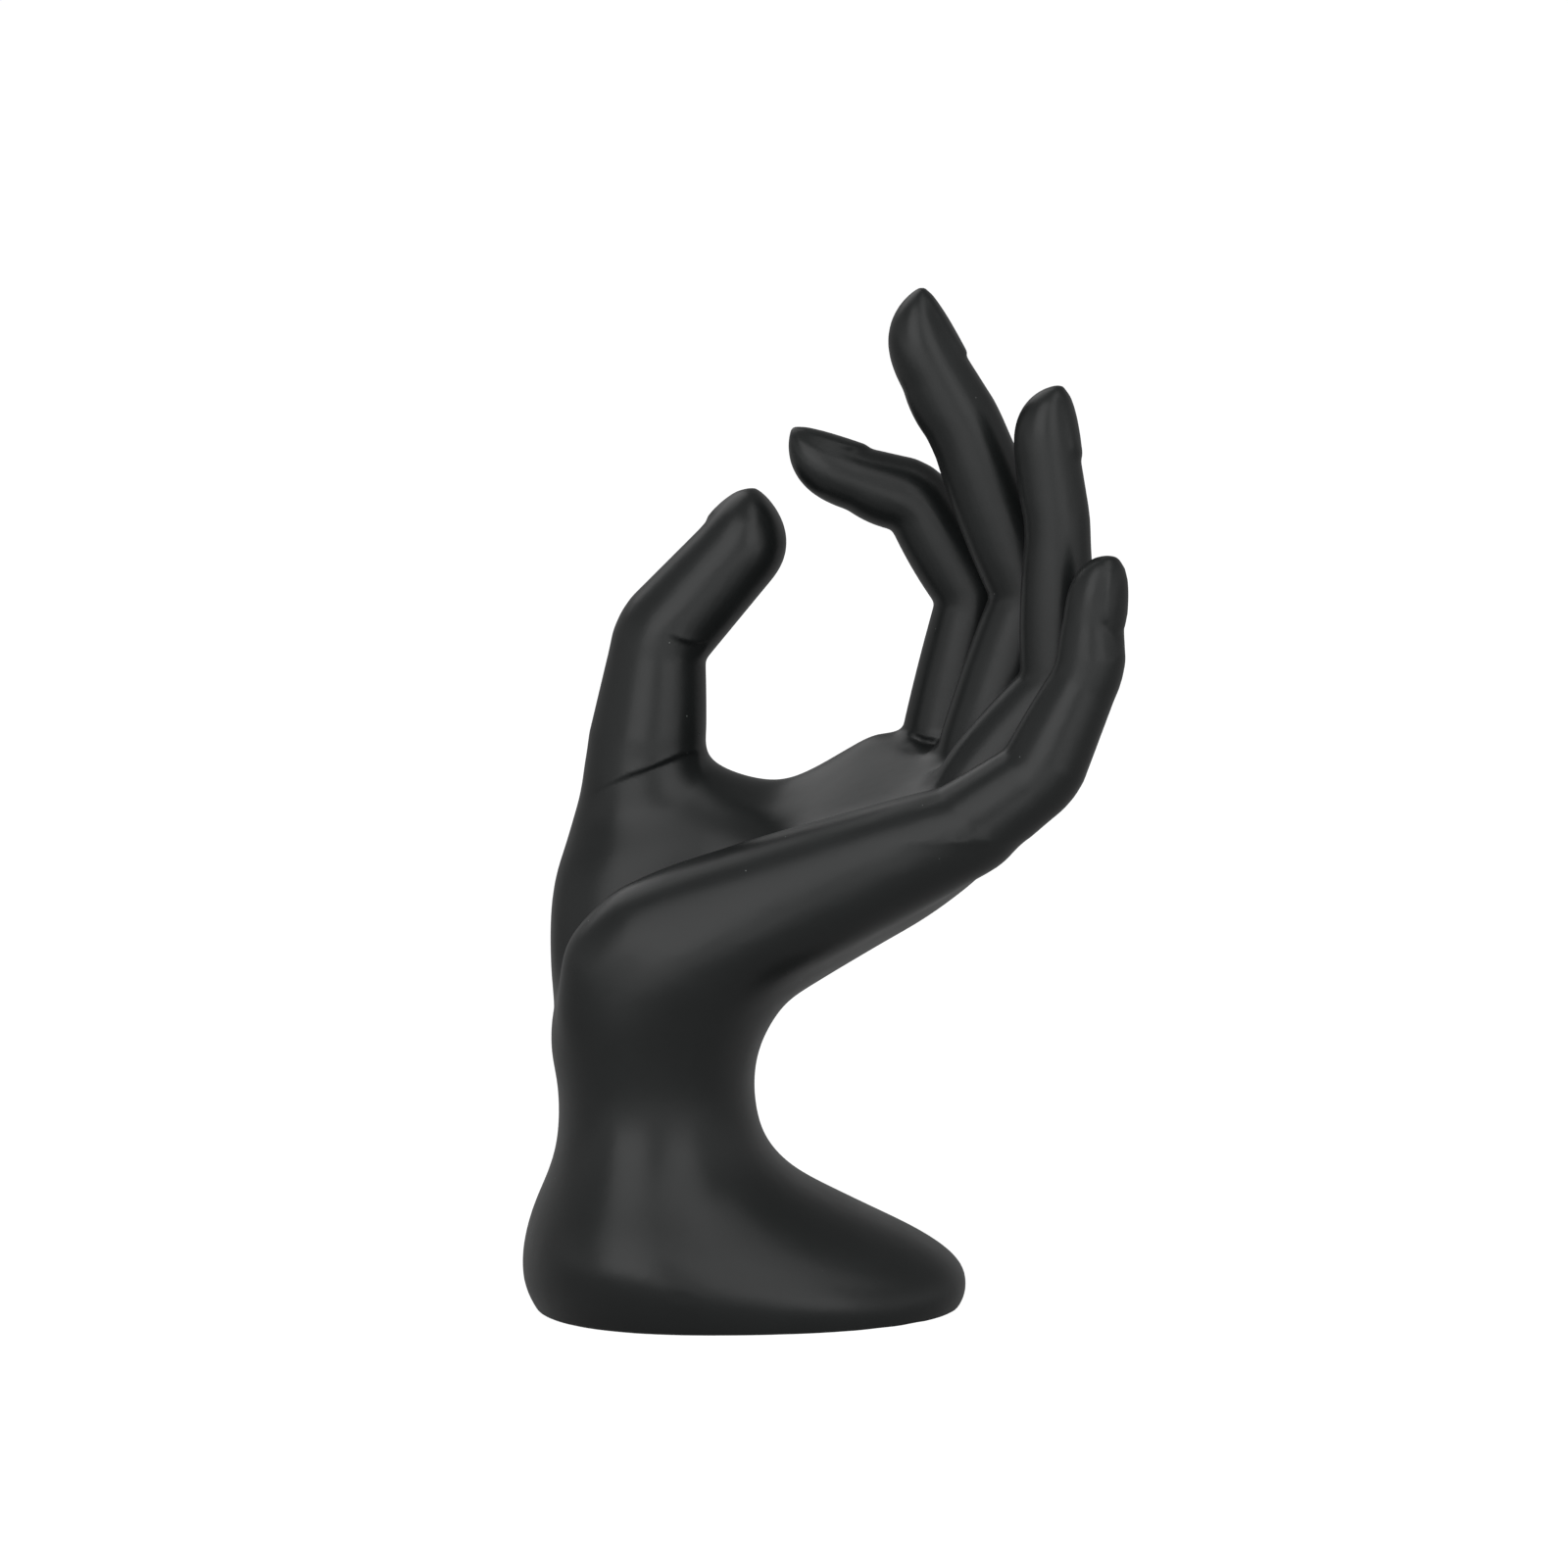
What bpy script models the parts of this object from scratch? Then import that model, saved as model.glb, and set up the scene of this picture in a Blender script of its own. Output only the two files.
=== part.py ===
"""Jewellery stand in the shape of a raised left hand, cast in one piece.

Run by /opt/lang/build. Metres, +Z up. The origin is the middle of the flat foot: -X is the palm
side of the wrist, +X the back of the hand, -Y the little finger's side and +Y the thumb's side.
"""

import math
from typing import NamedTuple

import bmesh
import bpy
import numpy as np
from mathutils import Matrix, Vector

MM = 0.001

RING_SIDES = 48
VOXEL = 0.8 * MM
FIRST_SMOOTHING = 4
PALM_SMOOTHING = 100
FLOOR_SMOOTHING = 140
TRIANGLES = 11800
NAIL_RISE = 0.45
NAIL_SHORT = 1.6
NAIL_SPREAD = math.radians(43)
NAIL_SUNK = 1.5
JOINT_LENGTH = 4.5
JOINT_LINKS = 3


class Section(NamedTuple):
    """One section of the forearm or palm. Its palm point and back point are (x, z)."""

    palm: tuple
    back: tuple
    half_width: float
    egg: float = 0.0
    hollow: float = 0.0
    square: float = 2.2
    far_back: float = 0.0


FOREARM = [
    Section((-31.6, -3.0), (31.0, -3.0), 26.6, 0.08, 0.0, 2.35),
    Section((-33.6, 0.0), (33.7, 0.0), 28.2, 0.08, 0.0, 2.35),
    Section((-35.2, 3.0), (34.8, 3.0), 29.2, 0.12, 0.0, 2.35),
    Section((-35.6, 6.0), (33.6, 6.0), 29.2, 0.18, 0.0, 2.35),
    Section((-35.1, 10.2), (28.0, 10.2), 28.0, 0.26, 0.0, 2.35),
    Section((-33.6, 15.3), (17.6, 15.3), 25.6, 0.24, 0.0, 2.3),
    Section((-31.4, 20.3), (8.0, 20.3), 23.2, 0.16),
    Section((-29.9, 25.5), (3.0, 25.5), 21.2, 0.08),
    Section((-29.6, 30.6), (1.4, 30.6), 20.0, 0.02),
    Section((-29.9, 35.7), (1.0, 35.7), 19.8, 0.0),
    Section((-31.0, 40.8), (2.0, 40.8), 20.4, 0.0),
]
PALM = [
    Section((-30.8, 50.0), (3.8, 44.2), 21.5, 0.0, 1.5, 2.3, 0.08),
    Section((-26.4, 59.3), (6.0, 47.4), 22.8, 0.0, 5.5, 2.3, 0.16),
    Section((-17.3, 67.6), (9.0, 49.4), 23.4, 0.0, 8.0, 2.3, 0.26),
    Section((-5.0, 72.0), (12.9, 51.9), 23.6, 0.0, 8.0, 2.3, 0.32),
    Section((5.6, 75.8), (20.4, 56.4), 23.6, 0.0, 5.0, 2.3, 0.34),
    Section((16.3, 78.8), (28.8, 61.4), 23.4, 0.0, 2.5, 2.3, 0.33),
    Section((27.0, 81.0), (37.4, 68.4), 22.4, 0.0, 1.2, 2.3, 0.30),
    Section((32.6, 82.0), (40.8, 74.6), 20.0, 0.0, 0.6, 2.3, 0.25),
]


class Mound(NamedTuple):
    """One section of the ball of the thumb: its middle, its radii left, right and across."""

    middle: tuple
    left: float
    right: float
    across: float


THUMB_MOUND = [
    Mound((-19.0, 8.0, 36.0), 9.5, 10.0, 9.0),
    Mound((-18.5, 9.0, 46.0), 12.2, 12.0, 10.5),
    Mound((-15.0, 12.0, 56.0), 16.4, 15.0, 12.5),
    Mound((-12.0, 13.5, 64.0), 18.8, 15.0, 12.8),
    Mound((-10.5, 14.5, 70.0), 18.8, 14.0, 12.4),
    Mound((-11.0, 16.0, 75.0), 17.3, 11.5, 11.2),
    Mound((-13.0, 17.0, 79.5), 14.3, 7.8, 9.4),
    Mound((-14.0, 17.2, 82.5), 12.4, 6.2, 8.4),
]
MOUND_SQUARE = 2.3
MOUND_TILT = 0.35

HULLS = {
    "web beside the thumb": [
        (-14.0, 17.0, 76.0, 8.0), (-9.5, 18.5, 77.8, 6.0), (5.0, 19.5, 73.2, 6.2),
        (-8.0, 13.0, 62.0, 12.0), (1.0, 10.0, 63.0, 9.0), (9.0, 7.0, 64.5, 9.5),
    ],
    "root of the index finger": [
        (5.6, 19.5, 73.0, 6.2), (21.5, 17.2, 80.4, 7.2), (30.5, 16.0, 80.0, 8.0),
        (2.0, 10.0, 63.5, 9.0), (12.0, 12.0, 66.0, 9.0), (16.0, 0.0, 67.8, 9.5),
        (28.0, -2.0, 73.5, 8.5),
    ],
    "edge of the little finger": [
        (-21.5, -9.5, 47.5, 8.5), (-20.0, -10.5, 54.8, 9.2), (-15.5, -10.8, 58.4, 10.0),
        (-9.5, -11.0, 60.8, 10.3), (4.0, -12.0, 64.3, 11.4), (23.5, -15.0, 72.6, 9.1),
        (34.6, -17.0, 77.1, 7.4),
    ],
}


class Bone(NamedTuple):
    """One bone of a finger: its length, its pitch above +X, and its flesh at its far end."""

    length: float
    pitch: float
    palmar: float
    dorsal: float
    side: float
    belly: float


class Finger(NamedTuple):
    """A finger: its knuckle and the flesh there, its bones, and its tip.

    tip_lift is how far the tip sits towards the nail, as a share of the flesh on that side.
    roll turns the finger about its own length, and its nail towards the little finger's side.
    """

    name: str
    knuckle: tuple
    root: tuple
    bones: tuple
    tip_length: float
    tip_lift: float
    nail_length: float
    lean: float = 0.0
    roll: float = 0.0
    bends_back: bool = False


FINGERS = [
    Finger("index", (30.3, 17.0, 77.1), (8.2, 7.4, 6.8), (
        Bone(32.6, 80.5, 6.2, 6.2, 6.1, 0.3),
        Bone(17.6, 121.0, 6.0, 5.8, 5.8, 0.3),
        Bone(22.2, 161.0, 5.3, 5.0, 5.5, 0.4),
    ), 12.5, 0.85, 12.4),
    Finger("middle", (34.0, 5.5, 78.2), (6.8, 7.2, 6.8), (
        Bone(34.1, 72.0, 6.6, 6.6, 6.1, 0.4),
        Bone(27.7, 112.0, 6.2, 5.9, 5.9, 0.4),
        Bone(23.2, 118.0, 5.9, 5.3, 5.8, 0.4),
    ), 13.0, 0.8, 12.8),
    Finger("ring", (32.7, -5.4, 79.3), (6.2, 7.2, 6.4), (
        Bone(24.0, 50.0, 6.0, 6.0, 5.7, 0.4),
        Bone(24.8, 90.5, 5.2, 5.1, 5.4, 0.4),
        Bone(21.9, 97.0, 5.4, 4.7, 5.3, 0.2),
    ), 11.0, 0.6, 11.6, 0.0, -10.0),
    Finger("pinky", (32.0, -17.0, 76.2), (7.6, 8.0, 7.2), (
        Bone(15.8, 36.0, 6.5, 6.8, 6.2, 0.0),
        Bone(17.7, 64.0, 5.4, 5.3, 5.3, 0.2),
        Bone(18.4, 84.0, 5.0, 4.2, 4.9, 0.1),
    ), 10.5, 0.4, 11.4, 0.0, -35.0),
    Finger("thumb", (-18.5, 15.0, 50.0), (7.0, 7.0, 7.0), (
        Bone(29.9, 86.0, 9.6, 10.2, 9.4, 0.0),
        Bone(22.6, 83.0, 7.3, 8.1, 7.5, 0.2),
        Bone(27.8, 49.4, 7.0, 6.7, 7.2, 0.0),
    ), 10.5, 0.6, 9.5, 1.5, -32.0, True),
]
TIP_POINT = 2.6
TIP_SHOULDER = 2.8
TIP_ROUND = 0.45

# Where the smoothing of the palm is full and where it has faded out, along x, y or z.
PALM_TOP = (78, 87)
FINGER_ROOTS = (28, 40)
ROOT_SLANT = 0.6
KNUCKLES = (34, 46)
FLOOR_X = ((-2, -9), (25, 34))
FLOOR_Y = (-5, -13)
FLOOR_Z = ((70, 62), (82, 90))

BLACK = (0.021, 0.023, 0.023, 1.0)
ROUGHNESS = 0.42


def unit(vector):
    """The vector at length 1."""
    return vector / np.linalg.norm(vector)


def smooth_rows(rows, steps):
    """Rows of numbers with `steps` rows between each pair, along a curve through them all."""
    rows = np.array(rows, float)
    padded = np.vstack([2 * rows[0] - rows[1], rows, 2 * rows[-1] - rows[-2]])
    made = []
    for i in range(1, len(rows)):
        before, start, end, after = padded[i - 1 : i + 3]
        for t in np.linspace(0, 1, steps, endpoint=False):
            made.append(
                0.5 * (2 * start + (end - before) * t
                       + (2 * before - 5 * start + 4 * end - after) * t**2
                       + (3 * start - before - 3 * end + after) * t**3)
            )
    made.append(rows[-1])
    return np.array(made)


def add_loft(bm, rings):
    """Adds a closed shell to bm: rings of points in millimetres, joined in order and capped."""
    rows = [[bm.verts.new(Vector(p) * MM) for p in ring] for ring in rings]
    sides = len(rows[0])
    made = []
    for low, high in zip(rows, rows[1:]):
        for i in range(sides):
            j = (i + 1) % sides
            made.append(bm.faces.new((low[i], low[j], high[j], high[i])))
    made.append(bm.faces.new(rows[0][::-1]))
    made.append(bm.faces.new(rows[-1]))
    bmesh.ops.recalc_face_normals(bm, faces=made)


def squared(turn, square):
    """The point of a unit circle at this turn, on an oval that square above 2 fills out."""
    return tuple(math.copysign(abs(c) ** (2 / square), c) for c in (math.cos(turn), math.sin(turn)))


def arm_ring(palm_x, palm_z, back_x, back_z, half_width, egg, hollow, square, far_back):
    """The ring of points of one section of the forearm or palm."""
    palm = np.array((palm_x, 0.0, palm_z))
    back = np.array((back_x, 0.0, back_z))
    centre = (palm + back) / 2
    up = unit(palm - back)
    half = np.linalg.norm(palm - back) / 2
    ring = []
    for k in range(RING_SIDES):
        across, rise = squared(2 * math.pi * k / RING_SIDES, square)
        depth = half * rise
        if rise > 0:
            depth -= hollow * (1 - across**2) ** 1.5
        else:
            depth *= 1 + far_back * across
        width = half_width * across * (1 + egg * rise)
        ring.append(centre + up * depth + np.array((0.0, width, 0.0)))
    return ring


def add_forearm_and_palm(bm):
    """The forearm from its foot to the wrist, and the palm from the heel to the knuckles."""
    table = [(*s.palm, *s.back, s.half_width, s.egg, s.hollow, s.square, s.far_back)
             for s in FOREARM + PALM]
    add_loft(bm, [arm_ring(*row) for row in smooth_rows(table, 4)])


def add_thumb_mound(bm):
    """The ball of the thumb, from the wrist to the thumb's lowest joint, in level sections."""
    rows = smooth_rows([(*m.middle, m.left, m.right, m.across) for m in THUMB_MOUND], 4)
    corners = [squared(turn, MOUND_SQUARE)
               for turn in np.linspace(0, 2 * math.pi, RING_SIDES, endpoint=False)]
    rings = []
    for i, (x, y, z, left, right, across) in enumerate(rows):
        tilt = MOUND_TILT * max(i / (len(rows) - 1) - 0.5, 0) * 2
        rings.append([
            (x + u * (right if u > 0 else left), y + v * across,
             z + tilt * u * (right if u > 0 else left)) for u, v in corners])
    add_loft(bm, rings)


def add_hull(bm, balls):
    """The skin stretched round a few balls, each (x, y, z, radius)."""
    points = bmesh.new()
    for *centre, radius in balls:
        place = Matrix.Translation(Vector(centre) * MM)
        bmesh.ops.create_icosphere(points, subdivisions=3, radius=radius * MM, matrix=place)
    bmesh.ops.delete(points, geom=points.edges[:], context="EDGES_FACES")
    bmesh.ops.convex_hull(points, input=points.verts[:])
    loose = [v for v in points.verts if not v.link_faces]
    bmesh.ops.delete(points, geom=loose, context="VERTS")
    mesh = bpy.data.meshes.new("hull")
    points.to_mesh(mesh)
    points.free()
    bm.from_mesh(mesh)
    bpy.data.meshes.remove(mesh)


class Flesh(NamedTuple):
    """The flesh on one bone: an oval tube with rounded ends.

    near and far are its (palmar, dorsal, side) radii. belly swells its palmar side at mid
    length, and tip is how far its far end reaches past the joint. A lift above 0 makes that end
    a fingertip, which slopes on its palmar side and ends towards the nail.
    """

    start: np.ndarray
    end: np.ndarray
    palmar_side: np.ndarray
    near: tuple
    far: tuple
    belly: float
    tip: float
    lift: float = 0.0

    def skin(self, s, turn, grow=0.0):
        """The point on its skin s past its start and turn round it, moved out by grow."""
        along = unit(self.end - self.start)
        side = np.cross(along, self.palmar_side)
        length = np.linalg.norm(self.end - self.start)
        near, far = np.array(self.near), np.array(self.far)
        t = min(max(s / length, 0.0), 1.0)
        palmar, dorsal, half = near + (far - near) * t
        palmar += self.belly * 4 * t * (1 - t)
        middle = 0.0
        if s < 0:
            dome = math.sqrt(1 - (s / self.near[2]) ** 2)
            palmar, dorsal, half = palmar * dome, dorsal * dome, half * dome
        if s > length and self.lift:
            u = min((s - length) / self.tip, 1.0)
            slope = math.sqrt(1 - u**TIP_POINT)
            shoulder = (1 - u**TIP_SHOULDER) ** TIP_ROUND
            middle = -(1 - slope) * dorsal * self.lift
            palmar *= slope
            dorsal *= shoulder + (slope - shoulder) * self.lift
            half *= shoulder
        elif s > length:
            dome = math.sqrt(max(1 - ((s - length) / self.tip) ** 2, 0.0))
            palmar, dorsal, half = palmar * dome, dorsal * dome, half * dome
        rise = math.sin(turn) * ((palmar if math.sin(turn) > 0 else dorsal) + grow)
        return (self.start + along * s + side * math.cos(turn) * (half + grow)
                + self.palmar_side * (middle + rise))

    def rings(self):
        """The rings of points of its shell."""
        length = np.linalg.norm(self.end - self.start)
        stops = np.concatenate([
            -self.near[2] * np.cos(np.linspace(0.12, math.pi / 2, 6)),
            np.linspace(0, length, 12)[1:-1],
            length + self.tip * np.sin(np.linspace(0, math.pi / 2 - 0.1, 12)),
        ])
        turns = np.linspace(0, 2 * math.pi, RING_SIDES, endpoint=False)
        return [[self.skin(s, turn) for turn in turns] for s in stops]

    def nail_rings(self, nail_length):
        """The rings of points of a nail plate on its dorsal side, ending short of its tip."""
        end = np.linalg.norm(self.end - self.start) + self.tip
        rings = []
        for u in np.linspace(0.02, 1, 12):
            s = end - nail_length + u * (nail_length - NAIL_SHORT)
            spread = NAIL_SPREAD * math.sqrt(1 - max(1 - u / 0.4, 0.0) ** 2)
            turns = -math.pi / 2 + np.linspace(-spread, spread, 15)
            rise = NAIL_RISE * (1 - 0.7 * u**3)
            rings.append([self.skin(s, turn, rise) for turn in turns]
                         + [self.skin(s, turn, -NAIL_SUNK) for turn in turns[::-1]])
        return rings


def with_joints(bones, root):
    """(length, pitch, near, far, belly) of each bone, with short links round each joint."""
    links = []
    near = root
    for i, bone in enumerate(bones):
        far = (bone.palmar, bone.dorsal, bone.side)
        shared = JOINT_LENGTH / 2 * ((i > 0) + (i < len(bones) - 1))
        links.append((bone.length - shared, bone.pitch, near, far, bone.belly))
        if i < len(bones) - 1:
            for turn in (np.arange(JOINT_LINKS) + 0.5) / JOINT_LINKS:
                pitch = bone.pitch + (bones[i + 1].pitch - bone.pitch) * turn
                links.append((JOINT_LENGTH / JOINT_LINKS, pitch, far, far, 0.0))
        near = far
    return links


def add_finger(bm, finger):
    """A finger's bones in a chain, each turned from +X by its own pitch, and its nail."""
    start = np.array(finger.knuckle)
    lean, roll = math.radians(finger.lean), math.radians(finger.roll)
    links = with_joints(finger.bones, finger.root)
    for i, (length, pitch, near, far, belly) in enumerate(links):
        pitch = math.radians(pitch)
        along = np.array((math.cos(pitch) * math.cos(lean), math.sin(lean),
                          math.sin(pitch) * math.cos(lean)))
        palmar_side = np.array((-math.sin(pitch), 0.0, math.cos(pitch)))
        if finger.bends_back:
            palmar_side = -palmar_side
        side = np.cross(along, palmar_side)
        palmar_side = palmar_side * math.cos(roll) + side * math.sin(roll)
        if i == len(links) - 1:
            end = start + along * (length - finger.tip_length)
            flesh = Flesh(start, end, palmar_side, near, far, belly,
                          finger.tip_length, finger.tip_lift)
            add_loft(bm, flesh.nail_rings(finger.nail_length))
        else:
            end = start + along * length
            flesh = Flesh(start, end, palmar_side, near, far, belly, far[2])
        add_loft(bm, flesh.rings())
        start = end


def add_modifier(obj, kind, **settings):
    """Adds a modifier to obj with these settings."""
    modifier = obj.modifiers.new(kind.title(), kind)
    for name, value in settings.items():
        setattr(modifier, name, value)
    return modifier


def apply_modifiers(obj):
    """Gives obj the mesh that its modifiers make, and takes them off."""
    graph = bpy.context.evaluated_depsgraph_get()
    mesh = bpy.data.meshes.new_from_object(obj.evaluated_get(graph))
    obj.modifiers.clear()
    obj.data = mesh
    mesh.name = obj.name


def fade(value, full, none):
    """1 at full, 0 at none and beyond, with a soft start and end."""
    t = np.clip((value - none) / (full - none), 0, 1)
    return t * t * (3 - 2 * t)


def palm_share(x, y, z):
    """1 on the forearm and palm, fading out at the roots of the fingers and thumb."""
    if z > PALM_TOP[0] - 2:
        roots = fade(x + max(-y, 0) * ROOT_SLANT, *FINGER_ROOTS)
    else:
        roots = fade(x, *KNUCKLES)
    return fade(z, *PALM_TOP) * roots


def floor_share(x, y, z):
    """1 on the floor of the palm between the ball of the thumb and the fingers."""
    across = fade(x, *FLOOR_X[0]) * fade(x, *FLOOR_X[1])
    return across * fade(y, *FLOOR_Y) * fade(z, *FLOOR_Z[0]) * fade(z, *FLOOR_Z[1])


def mark(obj, name, share):
    """A vertex group of obj whose weights are share(x, y, z), with the place in millimetres."""
    group = obj.vertex_groups.new(name=name)
    for vertex in obj.data.vertices:
        group.add([vertex.index], float(share(*(vertex.co / MM))), "REPLACE")


def cut_foot_flat(mesh):
    """Cuts the mesh off at the floor and closes it with one flat face."""
    bm = bmesh.new()
    bm.from_mesh(mesh)
    cut = bmesh.ops.bisect_plane(
        bm, geom=bm.verts[:] + bm.edges[:] + bm.faces[:], plane_co=(0, 0, 0),
        plane_no=(0, 0, -1), clear_outer=True)
    rim = [g for g in cut["geom_cut"] if isinstance(g, bmesh.types.BMEdge)]
    bmesh.ops.edgeloop_fill(bm, edges=rim)
    bm.to_mesh(mesh)
    bm.free()


def cast_resin():
    """The one material: black cast resin with a satin surface."""
    material = bpy.data.materials.new("black_cast_resin")
    material.use_nodes = True
    surface = material.node_tree.nodes["Principled BSDF"]
    surface.inputs["Base Color"].default_value = BLACK
    surface.inputs["Roughness"].default_value = ROUGHNESS
    surface.inputs["Metallic"].default_value = 0.0
    return material


def main():
    for obj in list(bpy.data.objects):
        bpy.data.objects.remove(obj)
    bm = bmesh.new()
    add_forearm_and_palm(bm)
    add_thumb_mound(bm)
    for balls in HULLS.values():
        add_hull(bm, balls)
    for finger in FINGERS:
        add_finger(bm, finger)
    mesh = bpy.data.meshes.new("hand_stand")
    bm.to_mesh(mesh)
    bm.free()
    hand = bpy.data.objects.new("hand_stand", mesh)
    stand = bpy.data.collections.new("jewelry_stand")
    bpy.context.scene.collection.children.link(stand)
    stand.objects.link(hand)
    add_modifier(hand, "REMESH", mode="VOXEL", voxel_size=VOXEL)
    add_modifier(hand, "SMOOTH", iterations=FIRST_SMOOTHING, factor=0.5)
    apply_modifiers(hand)
    mark(hand, "palm", palm_share)
    mark(hand, "floor", floor_share)
    add_modifier(hand, "SMOOTH", iterations=PALM_SMOOTHING, factor=0.5, vertex_group="palm")
    add_modifier(hand, "SMOOTH", iterations=FLOOR_SMOOTHING, factor=0.5, vertex_group="floor")
    apply_modifiers(hand)
    triangles = sum(len(p.vertices) - 2 for p in hand.data.polygons)
    add_modifier(hand, "DECIMATE", ratio=TRIANGLES / triangles)
    apply_modifiers(hand)
    cut_foot_flat(hand.data)
    hand.data.materials.append(cast_resin())


if __name__ == "__main__":
    main()
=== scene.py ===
"""The looks of a hand jewellery stand: one satin black resin casting, on a plain white floor.

The casting is modelled here again, finer than its CAD node, from the same sections and bones.
Balls are pulled out to the forearm, the palm, the ball of the thumb and each bone of each finger,
joined into one skin, and then folded where the photograph shows a crease. Sizes are in millimetres
unless a text says otherwise. -X is the palm side of the wrist, +X the back of the hand, and -Y the
little finger's side.
"""

import logging
import math
from dataclasses import dataclass
from typing import Callable, ClassVar, Iterator, Optional, Sequence

import bpy
import numpy as np
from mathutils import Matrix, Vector


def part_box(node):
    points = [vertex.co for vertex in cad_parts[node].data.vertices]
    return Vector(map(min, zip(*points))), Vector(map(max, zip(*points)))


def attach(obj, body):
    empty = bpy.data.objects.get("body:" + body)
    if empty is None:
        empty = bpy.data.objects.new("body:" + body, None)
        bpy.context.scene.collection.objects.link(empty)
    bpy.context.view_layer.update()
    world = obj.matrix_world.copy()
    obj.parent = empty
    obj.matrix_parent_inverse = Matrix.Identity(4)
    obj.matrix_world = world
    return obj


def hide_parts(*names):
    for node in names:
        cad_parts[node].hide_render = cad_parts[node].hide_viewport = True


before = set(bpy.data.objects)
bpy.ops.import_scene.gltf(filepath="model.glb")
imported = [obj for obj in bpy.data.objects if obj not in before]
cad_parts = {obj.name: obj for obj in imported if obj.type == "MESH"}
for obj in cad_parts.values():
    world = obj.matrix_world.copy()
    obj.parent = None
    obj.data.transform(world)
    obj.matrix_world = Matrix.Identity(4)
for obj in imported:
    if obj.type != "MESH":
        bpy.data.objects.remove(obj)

log = logging.getLogger("hand_stand")

# A span is where something starts and ends, or where it is full and where it is none. Radii are the
# flesh round a bone: palmar, dorsal and side.
Span = tuple[float, float]
Point = tuple[float, float, float]
Radii = tuple[float, float, float]

MM = 0.001
RING_SIDES = 48
QUARTER_TURN = math.pi / 2
CASTING_NODE = "hand_stand"
# The numbers of the colour mix node's sockets, because its names serve several kinds of value.
COLOUR_A, COLOUR_B, COLOUR_OUT = 6, 7, 2


def unit(vector: np.ndarray) -> np.ndarray:
    """The vector at length 1."""
    return vector / np.linalg.norm(vector)


def fade(value: np.ndarray, full: float, none: float) -> np.ndarray:
    """1 at full, 0 at none and beyond, with a soft start and end."""
    t = np.clip((value - none) / (full - none), 0, 1)
    return t * t * (3 - 2 * t)


def curve_through(rows: Sequence[Sequence[float]], steps: int) -> np.ndarray:
    """Rows of numbers along a smooth curve (Catmull-Rom) that passes through all the rows given.

    Args:
        rows: The rows to pass through.
        steps: How many rows are made for each pair.

    Returns:
        The rows, one after the other.
    """
    given = np.array(rows, float)
    padded = np.vstack([2 * given[0] - given[1], given, 2 * given[-1] - given[-2]])
    made = []
    for i in range(1, len(given)):
        before, start, end, after = padded[i - 1 : i + 3]
        for t in np.linspace(0, 1, steps, endpoint=False):
            made.append(
                0.5 * (2 * start + (end - before) * t
                       + (2 * before - 5 * start + 4 * end - after) * t**2
                       + (3 * start - before - 3 * end + after) * t**3)
            )
    made.append(given[-1])
    return np.array(made)


def oval(turns: np.ndarray, square: float) -> tuple[np.ndarray, np.ndarray]:
    """The points of a unit circle at these turns, filled out to a square for square above 2."""
    plain = np.cos(turns), np.sin(turns)
    return tuple(np.copysign(np.abs(c) ** (2 / square), c) for c in plain)


def turns_of(sides: int) -> np.ndarray:
    """Equal turns round a ring of this many sides."""
    return np.linspace(0, 2 * math.pi, sides, endpoint=False)


def points_of(obj: bpy.types.Object) -> np.ndarray:
    """The vertices of a mesh object, in metres."""
    flat = np.empty(len(obj.data.vertices) * 3)
    obj.data.vertices.foreach_get("co", flat)
    return flat.reshape(-1, 3)


def normals_of(obj: bpy.types.Object) -> np.ndarray:
    """The vertex normals of a mesh object."""
    flat = np.empty(len(obj.data.vertices) * 3, np.float32)
    obj.data.vertex_normals.foreach_get("vector", flat)
    return flat.reshape(-1, 3).astype(float)


def move_points(obj: bpy.types.Object, points: np.ndarray) -> None:
    """Moves a mesh object's vertices to these points, in metres."""
    obj.data.vertices.foreach_set("co", points.astype(np.float32).ravel())
    obj.data.update()


def deselect() -> None:
    """Deselects everything, so that an operator acts only on what is picked next."""
    bpy.ops.object.select_all(action="DESELECT")


def pick(objects: Sequence[bpy.types.Object]) -> None:
    """Selects these objects only, and makes the first one active."""
    deselect()
    for obj in objects:
        obj.select_set(True)
    bpy.context.view_layer.objects.active = objects[0]


def in_edit_mode(obj: bpy.types.Object, work: Callable[[], None]) -> None:
    """Does some work on all of an object's mesh in edit mode."""
    pick([obj])
    bpy.ops.object.mode_set(mode="EDIT")
    bpy.ops.mesh.select_all(action="SELECT")
    work()
    bpy.ops.object.mode_set(mode="OBJECT")


def joined(objects: Sequence[bpy.types.Object], name: str) -> bpy.types.Object:
    """Joins objects into one and names it."""
    pick(objects)
    bpy.ops.object.join()
    obj = bpy.context.object
    obj.name = obj.data.name = name
    return obj


def modify(obj: bpy.types.Object, kind: str, **settings: object) -> None:
    """Adds a modifier with these settings and applies it."""
    pick([obj])
    modifier = obj.modifiers.new(kind.title(), kind)
    for name, value in settings.items():
        setattr(modifier, name, value)
    bpy.ops.object.modifier_apply(modifier=modifier.name)


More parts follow.
